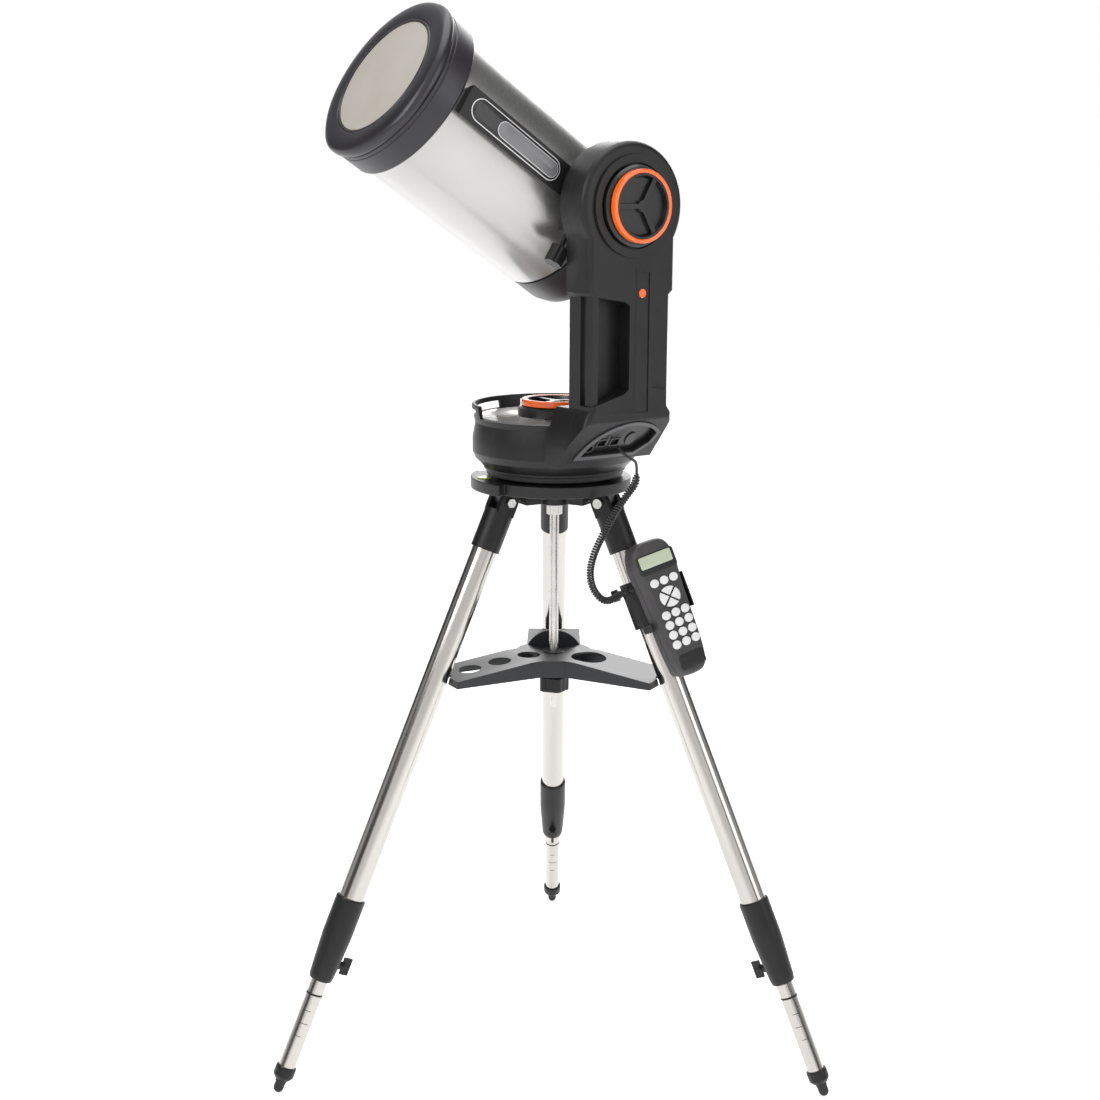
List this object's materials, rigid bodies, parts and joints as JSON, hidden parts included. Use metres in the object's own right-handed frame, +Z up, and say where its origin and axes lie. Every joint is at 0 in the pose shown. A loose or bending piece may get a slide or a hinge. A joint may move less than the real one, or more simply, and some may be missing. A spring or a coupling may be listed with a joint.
{
  "type": "schmidt cassegrain telescope",
  "caption": "Short-tube catadioptric telescope with a lens cap, on a motorised single arm altazimuth mount with clutch knobs, hand control and steel tripod with tray.",
  "frame": {"origin": "on the ground, under the azimuth axis", "axes": "+Z up along the azimuth axis, -Y towards the viewer; tripod legs stand at 210, 330 and 90 degrees about +Z; the tube points 36.3 degrees past -X towards -Y and 32.8 degrees up"},
  "size_m": [0.8264, 0.7412, 1.5647],
  "materials": {
    "arm_charcoal": "matte",
    "battery": "gloss",
    "black_cast": "satin",
    "black_plastic": "matte",
    "cap_label": "matte",
    "cap_plastic": "satin",
    "case_grey": "matte",
    "cell_metal": "satin",
    "cell_purple": "satin",
    "cord_grey": "matte",
    "corrector_glass": "clear",
    "deck_pale": "gloss",
    "dovetail_black": "satin",
    "gear_brass": "satin",
    "key_white": "satin",
    "knob_black": "gloss",
    "lcd": "gloss",
    "mirror": "polished",
    "orange": "gloss",
    "saddle_metal": "satin",
    "stainless": "satin",
    "steel_zinc": "satin",
    "tray_grey": "satin",
    "trim_grey": "matte",
    "tube_silver": "gloss",
    "vial": "gloss"
  },
  "bodies": {
    "tripod": {"tripod_head": "black_cast", "bubble_level": "vial", "pivot_bolts": "steel_zinc", "centre_rod": "steel_zinc", "mount_foot": "black_cast", "azimuth_gear": "gear_brass"},
    "tray": {"accessory_tray": "tray_grey"},
    "tray_knob": {"tray_knob": "black_plastic"},
    "azimuth": {"base_housing": "arm_charcoal", "base_deck": "deck_pale", "arm_inner_shell": "arm_charcoal", "arm_outer_shell": "arm_charcoal", "port_trim": "trim_grey", "port_panel": "black_plastic", "battery_pack": "battery", "azimuth_motor": "cell_metal", "altitude_motor": "cell_metal", "cord_lead": "cord_grey"},
    "az_clutch": {"az_knob": "knob_black", "az_ring": "orange"},
    "alt_clutch": {"alt_knob": "knob_black", "alt_ring": "orange"},
    "altitude": {"saddle_hub": "saddle_metal", "altitude_gear": "gear_brass", "dovetail_bar": "dovetail_black", "tube_shell": "tube_silver", "front_cell": "cell_purple", "corrector_plate": "corrector_glass", "secondary_cell": "cell_purple", "rear_cell": "cell_purple", "baffle_tube": "dovetail_black", "visual_back": "dovetail_black"},
    "clamp_knob": {"clamp_knob": "black_plastic"},
    "focus_knob": {"focus_knob": "black_plastic"},
    "primary_mirror": {"primary_mirror": "mirror"},
    "lens_cap": {"lens_cap": "cap_plastic", "cap_disc": "cap_label"},
    "handset": {"hc_case": "case_grey", "hc_display": "lcd", "cord_plug": "black_plastic"},
    "leg_1": {"leg_tube_1": "stainless", "leg_fittings_1": "black_plastic"},
    "leg_lower_1": {"leg_lower_1": "stainless"},
    "lock_knob_1": {"lock_knob_1": "black_plastic"},
    "leg_2": {"leg_tube_2": "stainless", "leg_fittings_2": "black_plastic", "hc_holder": "black_plastic", "cord_coil": "cord_grey"},
    "leg_lower_2": {"leg_lower_2": "stainless"},
    "lock_knob_2": {"lock_knob_2": "black_plastic"},
    "leg_3": {"leg_tube_3": "stainless", "leg_fittings_3": "black_plastic"},
    "leg_lower_3": {"leg_lower_3": "stainless"},
    "lock_knob_3": {"lock_knob_3": "black_plastic"},
    "top_keys": {"top_keys": "key_white"},
    "arrow_keys": {"arrow_keys": "key_white"},
    "number_keys_1": {"number_keys_1": "key_white"},
    "number_keys_2": {"number_keys_2": "key_white"},
    "number_keys_3": {"number_keys_3": "key_white"},
    "number_keys_4": {"number_keys_4": "key_white"}
  },
  "joints": [
    {"name": "azimuth_turn", "type": "hinge", "parent": "tripod", "child": "azimuth", "pos_m": [0, 0, 0.905], "axis": [0, 0, 1], "range_deg": [-180, 180]},
    {"name": "altitude_tilt", "type": "hinge", "parent": "azimuth", "child": "altitude", "pos_m": [0, 0, 1.294], "axis": [-0.592, 0.8059, 0], "range_deg": [-42.8, 57.2]},
    {"name": "az_clutch_turn", "type": "hinge", "parent": "azimuth", "child": "az_clutch", "pos_m": [0, 0, 1], "axis": [0, 0, 1], "range_deg": [0, 120]},
    {"name": "alt_clutch_turn", "type": "hinge", "parent": "azimuth", "child": "alt_clutch", "pos_m": [0.11248, -0.15313, 1.294], "axis": [0.592, -0.8059, 0], "range_deg": [0, 120]},
    {"name": "clamp_knob_turn", "type": "hinge", "parent": "altitude", "child": "clamp_knob", "pos_m": [0.00069, -0.1397, 1.2256], "axis": [-0.4366, -0.3207, -0.8406], "range_deg": [0, 360]},
    {"name": "focus_turn", "type": "hinge", "parent": "altitude", "child": "focus_knob", "pos_m": [0.08527, 0.07257, 1.2827], "axis": [0.6774, 0.4976, -0.5417], "range_deg": [-2161, 2161]},
    {"name": "mirror_slide", "type": "slide", "parent": "altitude", "child": "primary_mirror", "axis": [0.6774, 0.4976, -0.5417], "range_m": [-0.0045, 0.0045]},
    {"name": "lens_cap_off", "type": "slide", "parent": "altitude", "child": "lens_cap", "axis": [-0.6774, -0.4976, 0.5417], "range_m": [0, 0.12]},
    {"name": "tray_drop", "type": "slide", "parent": "tripod", "child": "tray", "axis": [0, 0, -1], "range_m": [0, 0.288]},
    {"name": "tray_knob_turn", "type": "hinge", "parent": "tray", "child": "tray_knob", "pos_m": [0, 0, 0.567], "axis": [0, 0, -1], "range_deg": [0, 360]},
    {"name": "leg_1_fold", "type": "hinge", "parent": "tripod", "child": "leg_1", "pos_m": [-0.07621, -0.044, 0.861], "axis": [0.5, -0.866, 0], "range_deg": [0, 12]},
    {"name": "leg_1_extend", "type": "slide", "parent": "leg_1", "child": "leg_lower_1", "axis": [-0.3522, -0.2034, -0.9135], "range_m": [-0.13, 0.18]},
    {"name": "leg_1_lock_turn", "type": "hinge", "parent": "leg_1", "child": "lock_knob_1", "pos_m": [-0.3119, -0.18007, 0.17599], "axis": [0.7912, 0.4568, -0.4067], "range_deg": [0, 180]},
    {"name": "leg_2_fold", "type": "hinge", "parent": "tripod", "child": "leg_2", "pos_m": [0.07621, -0.044, 0.861], "axis": [0.5, 0.866, 0], "range_deg": [0, 12]},
    {"name": "leg_2_extend", "type": "slide", "parent": "leg_2", "child": "leg_lower_2", "axis": [0.3522, -0.2034, -0.9135], "range_m": [-0.13, 0.18]},
    {"name": "leg_2_lock_turn", "type": "hinge", "parent": "leg_2", "child": "lock_knob_2", "pos_m": [0.3119, -0.18007, 0.17599], "axis": [-0.7912, 0.4568, -0.4067], "range_deg": [0, 180]},
    {"name": "leg_3_fold", "type": "hinge", "parent": "tripod", "child": "leg_3", "pos_m": [0, 0.088, 0.861], "axis": [-1, 0, 0], "range_deg": [0, 12]},
    {"name": "leg_3_extend", "type": "slide", "parent": "leg_3", "child": "leg_lower_3", "axis": [0, 0.4067, -0.9135], "range_m": [-0.13, 0.18]},
    {"name": "leg_3_lock_turn", "type": "hinge", "parent": "leg_3", "child": "lock_knob_3", "pos_m": [0, 0.36015, 0.17599], "axis": [0, -0.9135, -0.4067], "range_deg": [0, 180]},
    {"name": "handset_lift", "type": "slide", "parent": "leg_2", "child": "handset", "axis": [-0.3522, 0.2034, 0.9135], "range_m": [0, 0.04]},
    {"name": "top_keys_press", "type": "slide", "parent": "handset", "child": "top_keys", "axis": [-0.6227, 0.6778, -0.391], "range_m": [0, 0.0015], "stiffness_N_per_m": 400, "springref_m": -0.002},
    {"name": "arrow_keys_press", "type": "slide", "parent": "handset", "child": "arrow_keys", "axis": [-0.6227, 0.6778, -0.391], "range_m": [0, 0.0015], "stiffness_N_per_m": 400, "springref_m": -0.002},
    {"name": "number_keys_1_press", "type": "slide", "parent": "handset", "child": "number_keys_1", "axis": [-0.6227, 0.6778, -0.391], "range_m": [0, 0.0015], "stiffness_N_per_m": 400, "springref_m": -0.002},
    {"name": "number_keys_2_press", "type": "slide", "parent": "handset", "child": "number_keys_2", "axis": [-0.6227, 0.6778, -0.391], "range_m": [0, 0.0015], "stiffness_N_per_m": 400, "springref_m": -0.002},
    {"name": "number_keys_3_press", "type": "slide", "parent": "handset", "child": "number_keys_3", "axis": [-0.6227, 0.6778, -0.391], "range_m": [0, 0.0015], "stiffness_N_per_m": 400, "springref_m": -0.002},
    {"name": "number_keys_4_press", "type": "slide", "parent": "handset", "child": "number_keys_4", "axis": [-0.6227, 0.6778, -0.391], "range_m": [0, 0.0015], "stiffness_N_per_m": 400, "springref_m": -0.002}
  ],
  "couplings": [
    {"joint": "focus_turn", "follows": "mirror_slide", "rad_per_m": 8377.6},
    {"joint": "leg_1_fold", "follows": "tray_drop", "rad_per_m": 0.72715},
    {"joint": "leg_2_fold", "follows": "tray_drop", "rad_per_m": 0.72715},
    {"joint": "leg_3_fold", "follows": "tray_drop", "rad_per_m": 0.72715}
  ]
}
